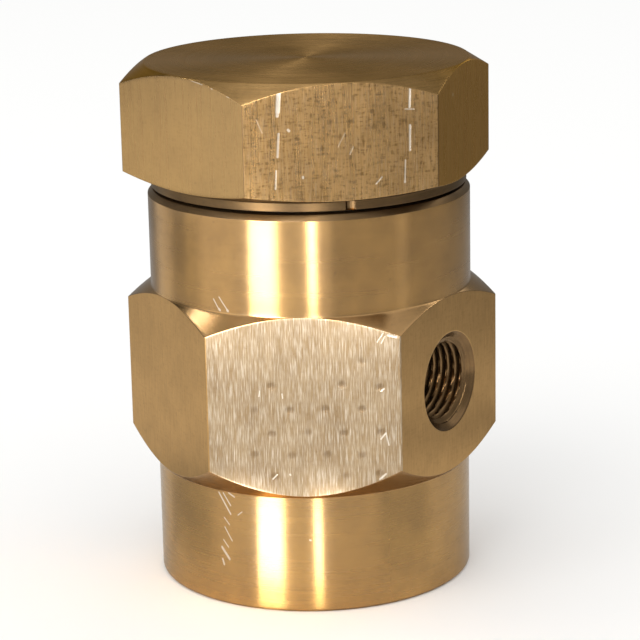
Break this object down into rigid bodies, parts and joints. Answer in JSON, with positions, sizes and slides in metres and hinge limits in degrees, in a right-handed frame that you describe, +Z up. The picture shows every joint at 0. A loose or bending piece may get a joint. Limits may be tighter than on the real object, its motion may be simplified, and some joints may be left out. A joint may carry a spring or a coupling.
{
  "type": "vacuum breaker valve",
  "caption": "Bronze vacuum breaker valve: round and hexagon body, hexagon screw cap, side air inlet, threaded connection below.",
  "frame": {"origin": "middle of the bottom face, on the body's axis", "axes": "+Z up along the body's axis towards the cap, +X out of the air inlet"},
  "size_m": [0.04, 0.0416, 0.0583],
  "materials": {
    "bronze_body": "turned and brushed bronze",
    "bronze_cap": "turned and brushed bronze",
    "gasket_fibre": "compressed fibre, matt",
    "stainless_turned": "turned stainless steel",
    "nitrile_facing": "moulded nitrile, matt",
    "guide_polymer": "turned fluoropolymer",
    "spring_wire": "drawn stainless spring wire"
  },
  "bodies": {
    "housing": {"valve_body": "bronze_body", "hex_cap": "bronze_cap", "cap_gasket": "gasket_fibre", "seat_insert": "stainless_turned", "seat_seal": "gasket_fibre", "guide_bush": "guide_polymer", "spring_shim": "stainless_turned", "closing_spring": "spring_wire"},
    "valve": {"valve_stem": "stainless_turned", "facing_seal": "nitrile_facing", "facing_washer": "stainless_turned", "facing_nut": "stainless_turned"}
  },
  "joints": [
    {"name": "valve_lift", "type": "slide", "parent": "housing", "child": "valve", "axis": [0, 0, 1], "range_m": [0, 0.003], "stiffness_N_per_m": 110, "springref_m": -0.004, "deforming": ["closing_spring"]}
  ]
}
